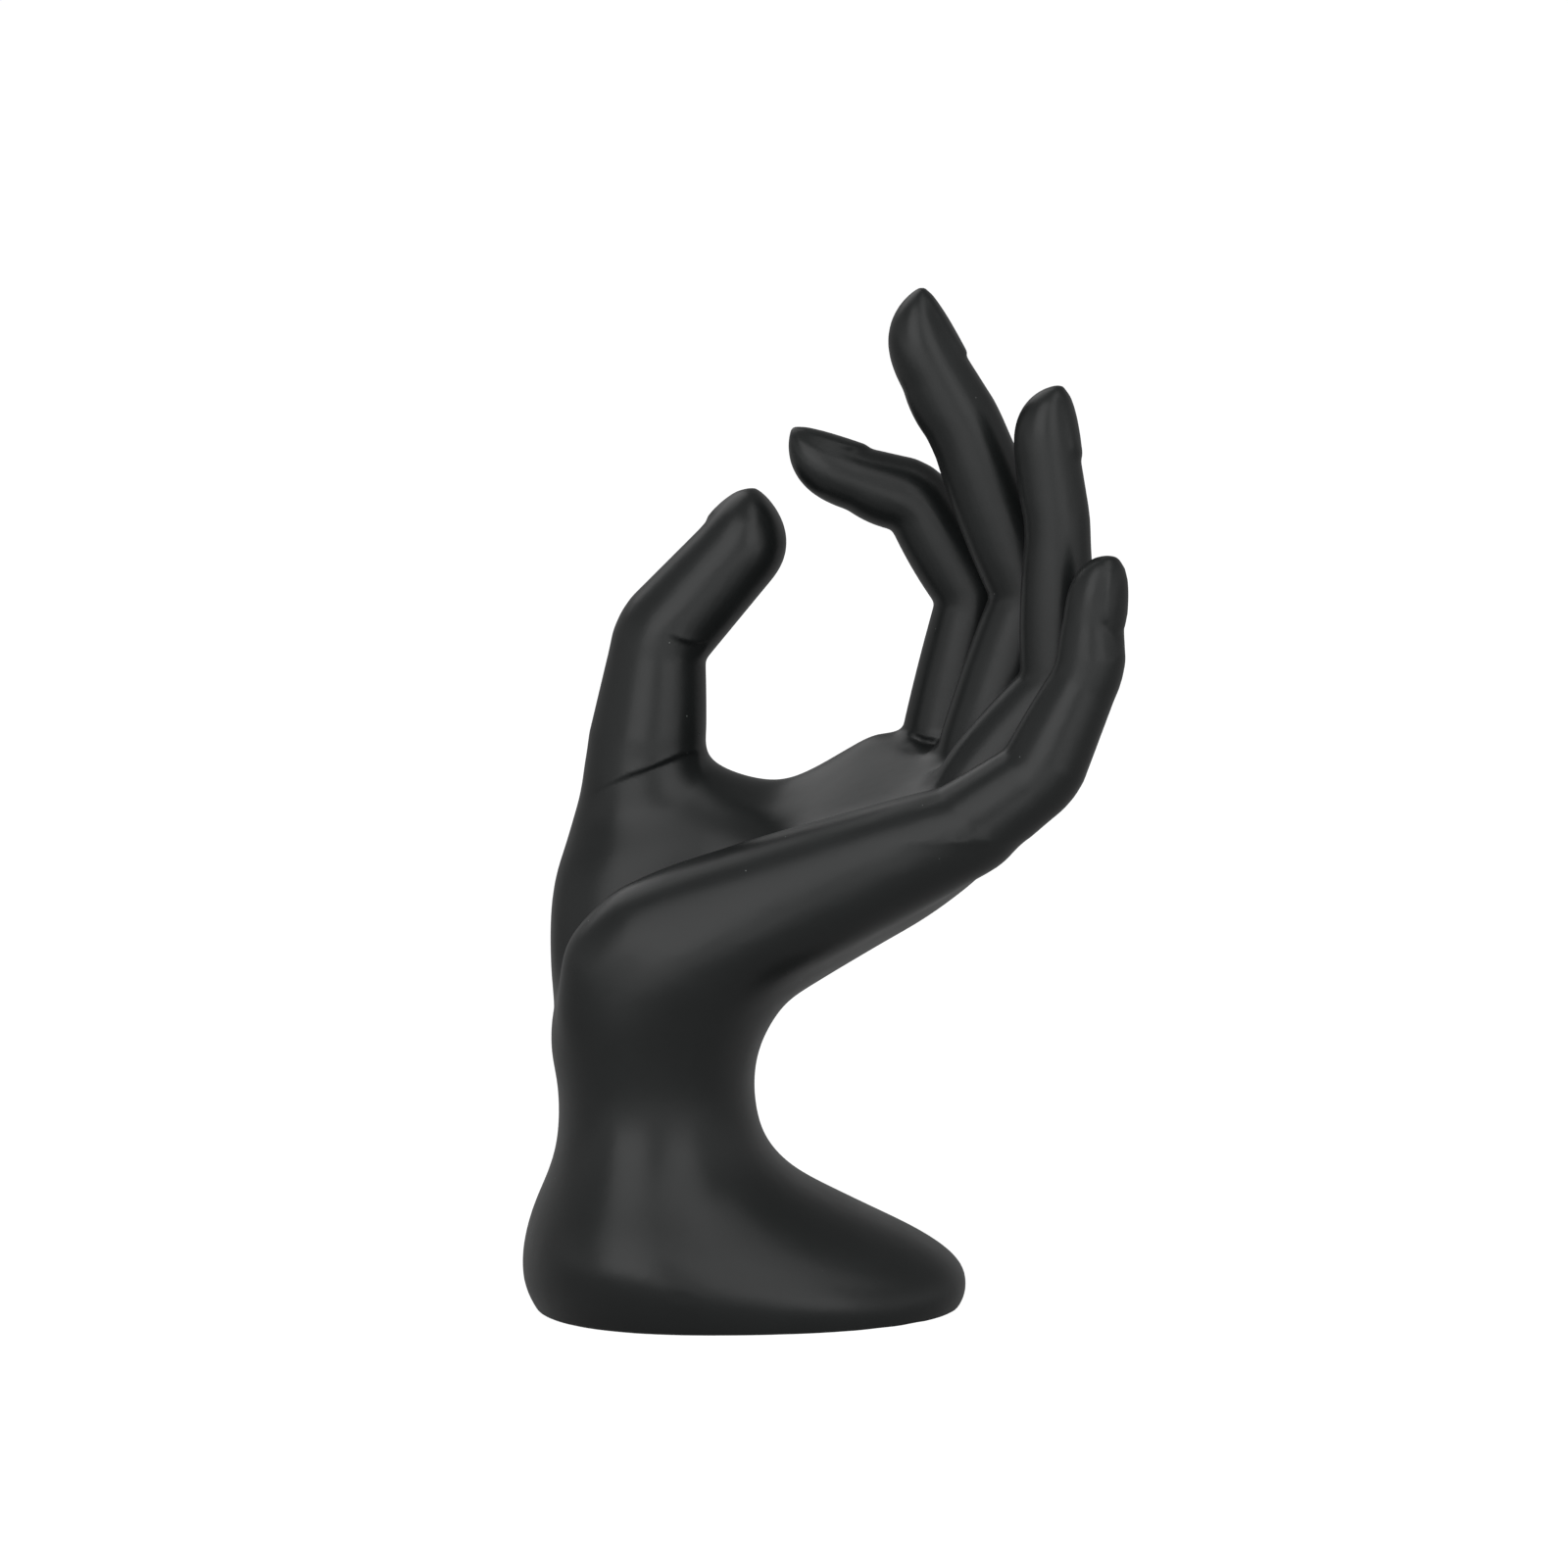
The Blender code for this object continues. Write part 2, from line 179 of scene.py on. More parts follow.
def pulled_ball(name: str, rings: Sequence[np.ndarray]) -> bpy.types.Object:
    """A ball whose level rings are pulled out to the rings given.

    Its poles go to the middles of the first and the last ring.

    Args:
        name: The new object's name.
        rings: Rings of points in millimetres, all with the same number of points.

    Returns:
        The object, a closed shell with its faces outwards.
    """
    table = np.array(rings) * MM
    levels, sides = len(rings) + 1, len(rings[0])
    deselect()
    bpy.ops.mesh.primitive_uv_sphere_add(segments=sides, ring_count=levels, radius=1.0)
    obj = bpy.context.object
    obj.name = name
    ball = points_of(obj)
    level = np.rint(np.arccos(np.clip(-ball[:, 2], -1, 1)) / math.pi * levels).astype(int) - 1
    side = np.rint(np.arctan2(ball[:, 1], ball[:, 0]) / (2 * math.pi) * sides).astype(int) % sides
    points = table[np.clip(level, 0, levels - 2), side]
    points[level < 0] = table[0].mean(axis=0)
    points[level > levels - 2] = table[-1].mean(axis=0)
    move_points(obj, points)
    in_edit_mode(obj, lambda: bpy.ops.mesh.normals_make_consistent(inside=False))
    return obj


@dataclass(frozen=True)
class Section:
    """One section of the forearm or palm.

    palm and back are its points on the palm's side and on the back, as (x, z). egg widens it
    towards the palm, hollow sinks the middle of the palm by that much, square above 2 fills it out
    towards a square, and far_back fills out its back on the thumb's side.
    """

    palm: tuple[float, float]
    back: tuple[float, float]
    half_width: float
    egg: float = 0.0
    hollow: float = 0.0
    square: float = 2.2
    far_back: float = 0.0


@dataclass(frozen=True)
class Arm:
    """The forearm from its flared foot to the wrist, and the palm up to the knuckles."""

    sections: tuple[Section, ...]
    steps: int = 6

    def ring(self, row: np.ndarray) -> np.ndarray:
        """The ring of points of one section, given as one row of its numbers."""
        palm_x, palm_z, back_x, back_z, half_width, egg, hollow, square, far_back = row
        palm, back = np.array((palm_x, 0.0, palm_z)), np.array((back_x, 0.0, back_z))
        up, half = unit(palm - back), np.linalg.norm(palm - back) / 2
        across, rise = oval(turns_of(RING_SIDES), square)
        over = half * rise - hollow * (1 - across**2) ** 1.5
        under = half * rise * (1 + far_back * across)
        depth = np.where(rise > 0, over, under)
        width = half_width * across * (1 + egg * rise)
        return (palm + back) / 2 + np.outer(depth, up) + np.outer(width, (0.0, 1.0, 0.0))

    def build(self) -> bpy.types.Object:
        """Makes the forearm and palm as one shell."""
        rows = [(*s.palm, *s.back, s.half_width, s.egg, s.hollow, s.square, s.far_back)
                for s in self.sections]
        rings = [self.ring(row) for row in curve_through(rows, self.steps)]
        return pulled_ball("forearm_and_palm", rings)


@dataclass(frozen=True)
class MoundSection:
    """One level section of the ball of the thumb: its middle, its radii left, right and across."""

    middle: Point
    left: float
    right: float
    across: float


@dataclass(frozen=True)
class ThumbMound:
    """The ball of the thumb, from the wrist to the thumb's lowest joint.

    square fills out its sections. tilt is the slope of the top one, and grows from 0 at mid height.
    """

    sections: tuple[MoundSection, ...]
    square: float = 2.3
    tilt: float = 0.35
    steps: int = 6

    def build(self) -> bpy.types.Object:
        """Makes the mound as one shell, its upper sections tilted up towards the web."""
        rows = curve_through([(*s.middle, s.left, s.right, s.across) for s in self.sections],
                             self.steps)
        u, v = oval(turns_of(RING_SIDES), self.square)
        rings = []
        for share, (x, y, z, left, right, across) in zip(np.linspace(0, 1, len(rows)), rows):
            reach = u * np.where(u > 0, right, left)
            tilt = self.tilt * max(share - 0.5, 0) * 2
            rings.append(np.column_stack([x + reach, y + v * across, z + tilt * reach]))
        return pulled_ball("ball_of_the_thumb", rings)


@dataclass(frozen=True)
class Skin:
    """Skin stretched tight round a few balls, each (x, y, z, radius)."""

    name: str
    balls: tuple[tuple[float, float, float, float], ...]

    SUBDIVISIONS: ClassVar[int] = 4

    def build(self) -> bpy.types.Object:
        """Makes the balls and the convex skin round them."""
        made = []
        for x, y, z, radius in self.balls:
            deselect()
            bpy.ops.mesh.primitive_ico_sphere_add(
                subdivisions=self.SUBDIVISIONS, radius=radius * MM,
                location=(x * MM, y * MM, z * MM))
            made.append(bpy.context.object)
        obj = joined(made, self.name)
        pick([obj])
        bpy.ops.object.transform_apply(location=True, rotation=True, scale=True)
        in_edit_mode(obj, lambda: bpy.ops.mesh.convex_hull())
        return obj


@dataclass(frozen=True)
class Bone:
    """One bone of a finger: its length, its pitch above +X in degrees and its far end's flesh.

    palmar, dorsal and side are radii. belly swells the palmar side at mid length.
    """

    length: float
    pitch: float
    palmar: float
    dorsal: float
    side: float
    belly: float

    @property
    def flesh(self) -> Radii:
        """The flesh at its far end: palmar, dorsal and side."""
        return self.palmar, self.dorsal, self.side


@dataclass(frozen=True)
class Flesh:
    """The flesh on one bone: an oval tube with rounded ends.

    near and far are its palmar, dorsal and side radii. belly swells its palmar side at mid length,
    and tip is how far its far end reaches past the joint. A lift above 0 makes that end a
    fingertip, which slopes on its palmar side and ends towards the nail. POINT is the power of that
    slope. SHOULDER and ROUND are the powers that keep the nail's side and the flanks full. The
    stops are the rings along the flesh, and the poles are how far, as a turn, the end rings stay
    from its ends.
    """

    start: np.ndarray
    end: np.ndarray
    palmar_side: np.ndarray
    near: Radii
    far: Radii
    belly: float
    tip: float
    lift: float = 0.0

    POINT: ClassVar[float] = 2.6
    SHOULDER: ClassVar[float] = 2.8
    ROUND: ClassVar[float] = 0.45
    NEAR_STOPS: ClassVar[int] = 8
    BONE_STOPS: ClassVar[int] = 14
    TIP_STOPS: ClassVar[int] = 18
    NEAR_POLE: ClassVar[float] = 0.12
    TIP_POLE: ClassVar[float] = 0.1

    @property
    def length(self) -> float:
        """The bone's length inside the flesh."""
        return float(np.linalg.norm(self.end - self.start))

    def skin(self, s: float, turns: np.ndarray, grow: float = 0.0) -> np.ndarray:
        """The points of one ring of its skin.

        Args:
            s: How far along the bone the ring is.
            turns: The points' turns round the bone, 0 at its side and a quarter on its palm's side.
            grow: How far the points stand off the skin.

        Returns:
            The points.
        """
        along = unit(self.end - self.start)
        side = np.cross(along, self.palmar_side)
        t = min(max(s / self.length, 0.0), 1.0)
        near, far = np.array(self.near), np.array(self.far)
        palmar, dorsal, half = near + (far - near) * t
        palmar += self.belly * 4 * t * (1 - t)
        middle = 0.0
        if s > self.length and self.lift:
            u = min((s - self.length) / self.tip, 1.0)
            slope = math.sqrt(1 - u**self.POINT)
            shoulder = (1 - u**self.SHOULDER) ** self.ROUND
            middle = -(1 - slope) * dorsal * self.lift
            palmar *= slope
            dorsal *= shoulder + (slope - shoulder) * self.lift
            half *= shoulder
        elif s < 0 or s > self.length:
            reach = -s / self.near[2] if s < 0 else (s - self.length) / self.tip
            dome = math.sqrt(max(1 - reach**2, 0.0))
            palmar, dorsal, half = palmar * dome, dorsal * dome, half * dome
        rise = np.sin(turns) * (np.where(np.sin(turns) > 0, palmar, dorsal) + grow)
        return (self.start + along * s + np.outer(np.cos(turns) * (half + grow), side)
                + np.outer(middle + rise, self.palmar_side))

    def build(self, name: str) -> bpy.types.Object:
        """Makes the flesh as one shell."""
        last = QUARTER_TURN - self.TIP_POLE
        stops = np.concatenate([
            -self.near[2] * np.cos(np.linspace(self.NEAR_POLE, QUARTER_TURN, self.NEAR_STOPS)),
            np.linspace(0, self.length, self.BONE_STOPS)[1:-1],
            self.length + self.tip * np.sin(np.linspace(0, last, self.TIP_STOPS)),
        ])
        return pulled_ball(name, [self.skin(s, turns_of(RING_SIDES)) for s in stops])


@dataclass(frozen=True)
class Nail:
    """A nail plate on the dorsal side of a fingertip. It ends short of the tip.

    It stands off the skin by rise and goes under it by sunk. spread is half its width, as a turn
    round the bone. It widens over the share ROOT of its length, and its rise shrinks by the share
    WORN towards its end.
    """

    length: float
    rise: float = 0.42
    short: float = 1.6
    spread: float = math.radians(35)
    sunk: float = 1.5

    ROOT: ClassVar[float] = 0.4
    WORN: ClassVar[float] = 0.6
    START: ClassVar[float] = 0.02
    RINGS: ClassVar[int] = 20
    ACROSS: ClassVar[int] = 21

    def build(self, flesh: Flesh, name: str) -> bpy.types.Object:
        """Makes the plate on this flesh, as one shell that is sunk into it."""
        end = flesh.length + flesh.tip
        rings = []
        for u in np.linspace(self.START, 1, self.RINGS):
            s = end - self.length + u * (self.length - self.short)
            spread = self.spread * math.sqrt(1 - max(1 - u / self.ROOT, 0.0) ** 2)
            turns = -QUARTER_TURN + np.linspace(-spread, spread, self.ACROSS)
            rise = self.rise * (1 - self.WORN * u**3)
            rings.append(np.vstack([flesh.skin(s, turns, rise),
                                    flesh.skin(s, turns[::-1], -self.sunk)]))
        return pulled_ball(name, rings)


@dataclass(frozen=True)
class Finger:
    """A finger or the thumb: its knuckle and the flesh there, its bones, its tip and its nail.

    tip_lift is how far the tip sits towards the nail. In degrees, lean turns the finger towards the
    thumb's side, and roll turns it about its own length. bends_back is for the thumb, whose palmar
    side faces the other way. Each joint is rounded by joint_links short links, over joint_length.
    """

    name: str
    knuckle: Point
    root: Radii
    bones: tuple[Bone, ...]
    tip_length: float
    tip_lift: float
    nail: Nail
    lean: float = 0.0
    roll: float = 0.0
    bends_back: bool = False
    joint_length: float = 4.5
    joint_links: int = 3

    def links(self) -> Iterator[tuple[float, float, Radii, Radii, float]]:
        """Length, pitch, near flesh, far flesh and belly of each bone and each short link."""
        near = self.root
        for i, bone in enumerate(self.bones):
            last = i == len(self.bones) - 1
            shared = self.joint_length / 2 * ((i > 0) + (not last))
            yield bone.length - shared, bone.pitch, near, bone.flesh, bone.belly
            if not last:
                for turn in (np.arange(self.joint_links) + 0.5) / self.joint_links:
                    pitch = bone.pitch + (self.bones[i + 1].pitch - bone.pitch) * turn
                    yield (self.joint_length / self.joint_links, pitch, bone.flesh, bone.flesh,
                           0.0)
            near = bone.flesh

    def build(self) -> list[bpy.types.Object]:
        """Makes the shells of its bones, joints and nail."""
        made = []
        start = np.array(self.knuckle)
        lean, roll = math.radians(self.lean), math.radians(self.roll)
        links = list(self.links())
        for i, (length, degrees, near, far, belly) in enumerate(links):
            pitch, last = math.radians(degrees), i == len(links) - 1
            along = np.array((math.cos(pitch) * math.cos(lean), math.sin(lean),
                              math.sin(pitch) * math.cos(lean)))
            palmar_side = np.array((-math.sin(pitch), 0.0, math.cos(pitch)))
            palmar_side = palmar_side * (-1 if self.bends_back else 1)
            side = np.cross(along, palmar_side)
            palmar_side = palmar_side * math.cos(roll) + side * math.sin(roll)
            end = start + along * (length - (self.tip_length if last else 0.0))
            flesh = Flesh(start, end, palmar_side, near, far, belly,
                          tip=self.tip_length if last else far[2],
                          lift=self.tip_lift if last else 0.0)
            made.append(flesh.build(f"{self.name}_{i}"))
            if last:
                made.append(self.nail.build(flesh, f"{self.name}_nail"))
            start = end
        return made


@dataclass(frozen=True)
class PhotoView:
    """The photograph's view: a long lens a little above level, which looks along +Y."""

    target: Point = (5.64, 0.0, 81.8)
    distance: float = 1525.0
    elevation: float = 8.0
    lens: float = 225.0
    sensor: float = 36.0
    pixels: int = 1600
    clip: Span = (0.1, 30.0)

    @property
    def backwards(self) -> Vector:
        """The direction from the target to the camera."""
        e = math.radians(self.elevation)
        return Vector((0.0, -math.cos(e), math.sin(e)))

    @property
    def place(self) -> Vector:
        """The camera's place, in metres."""
        return (Vector(self.target) + self.backwards * self.distance) * MM

    def ray(self, across: float, down: float) -> Vector:
        """The direction from the camera through one pixel of the photograph."""
        e = math.radians(self.elevation)
        right, up = Vector((1, 0, 0)), Vector((0.0, math.sin(e), math.cos(e)))
        focal = self.lens / self.sensor * self.pixels
        middle = self.pixels / 2
        way = -self.backwards * focal + right * (across - middle) - up * (down - middle)
        return way.normalized()

    def build(self) -> bpy.types.Object:
        """Makes the camera and looks through it."""
        deselect()
        bpy.ops.object.camera_add(location=self.place)
        camera = bpy.context.object
        camera.name = "photo_camera"
        camera.rotation_mode = "QUATERNION"
        camera.rotation_quaternion = (-self.backwards).to_track_quat("-Z", "Y")
        camera.data.sensor_width, camera.data.lens = self.sensor, self.lens
        camera.data.clip_start, camera.data.clip_end = self.clip
        bpy.context.scene.camera = camera
        return camera


@dataclass(frozen=True)
class Stroke:
    """A fold along a path of the photograph's pixels, pressed into the flesh that shows there.

    Going along the path, the flesh on the left sinks by depth and comes up again over about width,
    and the flesh on the right stands over it by rise, over about LIP. EDGE is how wide the step
    between the two is. ends are the shares of the path over which the fold starts and ends. It acts
    up to REACH widths away, and dies out over the span FADING of that, and where the skin turns
    away.
    """

    name: str
    path: tuple[tuple[float, float], ...]
    depth: float
    rise: float
    width: float
    ends: Span

    EDGE: ClassVar[float] = 0.3
    LIP: ClassVar[float] = 0.7
    STEPS: ClassVar[int] = 10
    GAP: ClassVar[float] = 0.2
    REACH: ClassVar[float] = 4.0
    FADING: ClassVar[Span] = (0.5, 1.0)
    TURNED_AWAY: ClassVar[Span] = (0.2, -0.2)

    def line_on(self, obj: bpy.types.Object, view: PhotoView) -> tuple[np.ndarray, np.ndarray]:
        """The path's points on the skin of obj, as the photograph's camera sees them.

        Args:
            obj: The hand.
            view: The photograph's view.

        Returns:
            The points, in metres, and the skin's normals there.
        """
        hits = []
        for across, down in curve_through(self.path, self.STEPS):
            found, place, normal, _ = obj.ray_cast(view.place, view.ray(across, down))
            if found and (not hits or (place - hits[-1][0]).length > self.GAP * MM):
                hits.append((place, normal))
        return (np.array([tuple(place) for place, _ in hits]),
                np.array([tuple(normal) for _, normal in hits]))

    def push(self, s: np.ndarray) -> np.ndarray:
        """How far the skin moves out, at s times the width to the left of the path."""
        over = 0.5 - 0.5 * np.tanh(s * self.width / self.EDGE)
        lip = over * self.rise * np.exp(-np.abs(s) * self.width / self.LIP)
        return lip - (1 - over) * self.depth * np.exp(-np.abs(s))

    def press(self, obj: bpy.types.Object, view: PhotoView) -> None:
        """Presses the fold into the skin of obj."""
        line, facing = self.line_on(obj, view)
        tangent = np.gradient(line, axis=0)
        spacing = np.linalg.norm(tangent, axis=1)
        tangent /= spacing[:, None]
        left = np.cross(facing, tangent)
        left /= np.linalg.norm(left, axis=1)[:, None]
        points, normals = points_of(obj), normals_of(obj)
        reach = self.REACH * self.width * MM
        inside = (points > line.min(0) - reach) & (points < line.max(0) + reach)
        near = np.flatnonzero(np.all(inside, axis=1))
        away = points[near][:, None, :] - line[None, :, :]
        nearest = np.argmin(np.einsum("ijk,ijk->ij", away, away), axis=1)
        away = away[np.arange(len(near)), nearest]
        s = np.einsum("ij,ij->i", away, left[nearest]) / (self.width * MM)
        forwards = np.einsum("ij,ij->i", away, tangent[nearest]) / spacing[nearest]
        share = (nearest + forwards) / (len(line) - 1)
        strength = fade(share, self.ends[0], 0.0) * fade(1 - share, self.ends[1], 0.0)
        strength *= fade(np.linalg.norm(away, axis=1) / reach, *self.FADING)
        same_way = np.einsum("ij,ij->i", normals[near], facing[nearest])
        strength *= fade(same_way, *self.TURNED_AWAY)
        points[near] += normals[near] * (self.push(s) * strength * MM)[:, None]
        move_points(obj, points)
        log.info("%s: pressed at %d points", self.name, len(near))


@dataclass(frozen=True)
class Casting:
    """The whole hand, cast in one piece.

    voxel is the fineness of its skin. The three smoothings are areas in square millimetres: for the
    whole hand, for the forearm and palm, and for the floor of the palm. triangles is the most that
    the skin may have. The constants bound those parts: a span tells where a share is full and where
    it is none, along X, Y or Z.
    """

    arm: Arm
    mound: ThumbMound
    skins: tuple[Skin, ...]
    fingers: tuple[Finger, ...]
    strokes: tuple[Stroke, ...]
    voxel: float = 0.42
    quick_voxel: float = 0.7
    smoothing: float = 1.8
    palm_smoothing: float = 64.0
    floor_smoothing: float = 90.0
    triangles: int = 190000
    sharp_edge: float = math.radians(60)

    KNUCKLES_FROM: ClassVar[float] = 76.0
    KNUCKLE_SLANT: ClassVar[float] = 0.6
    KNUCKLES: ClassVar[Span] = (28, 40)
    BACK_OF_HAND: ClassVar[Span] = (34, 46)
    THUMB_UNTIL: ClassVar[float] = 6.0
    THUMB_ROOT: ClassVar[Span] = (84, 88)
    FINGER_ROOTS: ClassVar[Span] = (78, 87)
    FLOOR_HEEL: ClassVar[Span] = (-2, -9)
    FLOOR_FINGERS: ClassVar[Span] = (28, 35)
    FLOOR_EDGE: ClassVar[Span] = (-5, -13)
    FLOOR_UNDER: ClassVar[Span] = (70, 62)
    FLOOR_OVER: ClassVar[Span] = (82, 90)

    def palm_share(self, points: np.ndarray) -> np.ndarray:
        """1 on the forearm and palm, 0 on the fingers, for points in millimetres."""
        x, y, z = points.T
        slanted = x + np.maximum(-y, 0) * self.KNUCKLE_SLANT
        roots = np.where(z > self.KNUCKLES_FROM, fade(slanted, *self.KNUCKLES),
                         fade(x, *self.BACK_OF_HAND))
        top = np.where(x < self.THUMB_UNTIL, fade(z, *self.THUMB_ROOT),
                       fade(z, *self.FINGER_ROOTS))
        return top * roots

    def floor_share(self, points: np.ndarray) -> np.ndarray:
        """1 on the floor of the palm between the ball of the thumb and the fingers."""
        x, y, z = points.T
        return (fade(x, *self.FLOOR_HEEL) * fade(x, *self.FLOOR_FINGERS)
                * fade(y, *self.FLOOR_EDGE) * fade(z, *self.FLOOR_UNDER)
                * fade(z, *self.FLOOR_OVER))

    def smooth(self, obj: bpy.types.Object, area: float, voxel: float,
               share: Optional[np.ndarray] = None) -> None:
        """Smooths the skin.

        Args:
            obj: The hand.
            area: About how large an area is evened out, in square millimetres.
            voxel: The skin's fineness.
            share: How much each point takes part. Without it, all do.
        """
        if share is not None:
            group = obj.vertex_groups.new(name="smoothed")
            for index in np.flatnonzero(share > 0):
                group.add([int(index)], float(share[index]), "REPLACE")
        modify(obj, "SMOOTH", iterations=max(round(area / voxel**2), 1), factor=0.5,
               vertex_group="" if share is None else "smoothed")
        obj.vertex_groups.clear()

    def build(self, view: PhotoView) -> bpy.types.Object:
        """Makes the hand as one closed skin that stands on its flat foot.

        Args:
            view: The photograph's view, which the strokes are drawn in.

        Returns:
            The hand.
        """
        voxel = self.voxel
        shells = [self.arm.build(), self.mound.build(), *(skin.build() for skin in self.skins)]
        for finger in self.fingers:
            shells += finger.build()
        hand = joined(shells, "hand_casting")
        modify(hand, "REMESH", mode="VOXEL", voxel_size=voxel * MM)
        self.smooth(hand, self.smoothing, voxel)
        points = points_of(hand) / MM
        palm, floor = self.palm_share(points), self.floor_share(points)
        self.smooth(hand, self.palm_smoothing, voxel, palm)
        self.smooth(hand, self.floor_smoothing, voxel, floor)
        for stroke in self.strokes:
            stroke.press(hand, view)
        triangles = 2 * len(hand.data.polygons)
        if triangles > self.triangles:
            modify(hand, "DECIMATE", ratio=self.triangles / triangles)
        in_edit_mode(hand, lambda: bpy.ops.mesh.bisect(
            plane_co=(0, 0, 0), plane_no=(0, 0, 1), use_fill=True, clear_inner=True))
        low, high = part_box(CASTING_NODE)
        move_points(hand, np.clip(points_of(hand), np.array(low), np.array(high)))
        pick([hand])
        bpy.ops.object.shade_smooth_by_angle(angle=self.sharp_edge)
        return hand


def linear(hex_colour: str) -> tuple[float, float, float, float]:
    """The linear colour of an sRGB hex value such as #20C0FF, by that standard's own curve."""
    parts = [int(hex_colour[i : i + 2], 16) / 255 for i in (1, 3, 5)]
    red, green, blue = (p / 12.92 if p <= 0.04045 else ((p + 0.055) / 1.055) ** 2.4 for p in parts)
    return red, green, blue, 1.0


def add_node(tree: bpy.types.NodeTree, kind: str, links: Optional[dict] = None,
             **settings: object) -> bpy.types.Node:
    """Adds a node to a tree.

    Args:
        tree: The node tree.
        kind: The node's type.
        links: For an input's name or number, a value, or the socket that feeds it.
        settings: The node's own settings.

    Returns:
        The node.
    """
    node = tree.nodes.new(kind)
    for name, value in settings.items():
        setattr(node, name, value)
    for name, value in (links or {}).items():
        if isinstance(value, bpy.types.NodeSocket):
            tree.links.new(value, node.inputs[name])
        else:
            node.inputs[name].default_value = value
    return node


def new_material(name: str) -> tuple[bpy.types.Material, bpy.types.NodeTree]:
    """A new material and its empty node tree."""
    material = bpy.data.materials.new(name)
    material.use_nodes = True
    material.node_tree.nodes.clear()
    return material, material.node_tree


@dataclass(frozen=True)
class Dots:
    """Scattered round dots: their mean spacing, their radius and the share of places left empty."""

    spacing: float
    radius: float
    empty: float

    CORE: ClassVar[float] = 0.6

    def mask(self, tree: bpy.types.NodeTree, place: bpy.types.NodeSocket) -> bpy.types.NodeSocket:
        """1 inside the dots, 0 elsewhere, with soft rims outside their core.

        Args:
            tree: The material's node tree.
            place: The socket that gives the place on the piece.

        Returns:
            The socket.
        """
        cells = add_node(tree, "ShaderNodeTexVoronoi", {
            "Vector": place, "Scale": 1 / (self.spacing * MM)})
        inside = add_node(tree, "ShaderNodeMapRange", {
            "Value": cells.outputs["Distance"], "From Min": self.radius / self.spacing,
            "From Max": self.CORE * self.radius / self.spacing})
        chosen = add_node(tree, "ShaderNodeSeparateColor", {"Color": cells.outputs["Color"]})
        kept = add_node(tree, "ShaderNodeMath", {
            0: chosen.outputs[0], 1: self.empty}, operation="GREATER_THAN")
        return add_node(tree, "ShaderNodeMath", {
            0: inside.outputs["Result"], 1: kept.outputs[0]}, operation="MULTIPLY").outputs[0]


@dataclass(frozen=True)
class SatinResin:
    """Black polyester resin, cast in a silicone mould and left satin.

    The eye sees a near-black body under a broad soft sheen, slightly uneven from the mould, with a
    fine grain, a few pale specks of dust and a few pinholes where air was trapped. cloud, ripple
    and grain are the sizes of the uneven colour, of the mould's waves and of the grain. uneven is
    how far the roughness goes below and above its middle.
    """

    body: str = "#1B1D1D"
    worn: str = "#232626"
    dust: str = "#8F9391"
    roughness: float = 0.33
    uneven: Span = (0.03, 0.04)
    cloud: float = 14.0
    grain: float = 0.35
    grain_height: float = 0.02
    ripple: float = 6.0
    ripple_height: float = 0.12
    specks: Dots = Dots(3.0, 0.12, 0.75)
    pits: Dots = Dots(7.5, 0.22, 0.8)
    pit_depth: float = 0.3

    def material(self) -> bpy.types.Material:
        """Makes the material."""
        material, tree = new_material("satin_black_cast_resin")
        place = add_node(tree, "ShaderNodeTexCoord").outputs["Object"]
        cloud = add_node(tree, "ShaderNodeTexNoise", {
            "Vector": place, "Scale": 1 / MM / self.cloud, "Detail": 4.0, "Roughness": 0.6})
        grain = add_node(tree, "ShaderNodeTexNoise", {
            "Vector": place, "Scale": 1 / MM / self.grain, "Detail": 2.0, "Roughness": 0.6})
        ripple = add_node(tree, "ShaderNodeTexNoise", {
            "Vector": place, "Scale": 1 / MM / self.ripple, "Detail": 2.0, "Roughness": 0.5})
        colour = add_node(tree, "ShaderNodeMix", {
            "Factor": cloud.outputs["Fac"], COLOUR_A: linear(self.body),
            COLOUR_B: linear(self.worn)}, data_type="RGBA")
        dusty = add_node(tree, "ShaderNodeMix", {
            "Factor": self.specks.mask(tree, place), COLOUR_A: colour.outputs[COLOUR_OUT],
            COLOUR_B: linear(self.dust)}, data_type="RGBA")
        rough = add_node(tree, "ShaderNodeMapRange", {
            "Value": cloud.outputs["Fac"], "From Min": 0.3, "From Max": 0.7,
            "To Min": self.roughness - self.uneven[0], "To Max": self.roughness + self.uneven[1]})
        fine = add_node(tree, "ShaderNodeBump", {
            "Height": grain.outputs["Fac"], "Strength": 0.25, "Distance": self.grain_height * MM})
        broad = add_node(tree, "ShaderNodeBump", {
            "Height": ripple.outputs["Fac"], "Strength": 0.5,
            "Distance": self.ripple_height * MM, "Normal": fine.outputs["Normal"]})
        pits = add_node(tree, "ShaderNodeBump", {
            "Height": self.pits.mask(tree, place), "Strength": 1.0,
            "Distance": self.pit_depth * MM, "Normal": broad.outputs["Normal"]}, invert=True)
        surface = add_node(tree, "ShaderNodeBsdfPrincipled", {
            "Base Color": dusty.outputs[COLOUR_OUT], "Roughness": rough.outputs["Result"],
            "IOR": 1.5, "Normal": pits.outputs["Normal"]})
        add_node(tree, "ShaderNodeOutputMaterial", {"Surface": surface.outputs[0]})
        return material


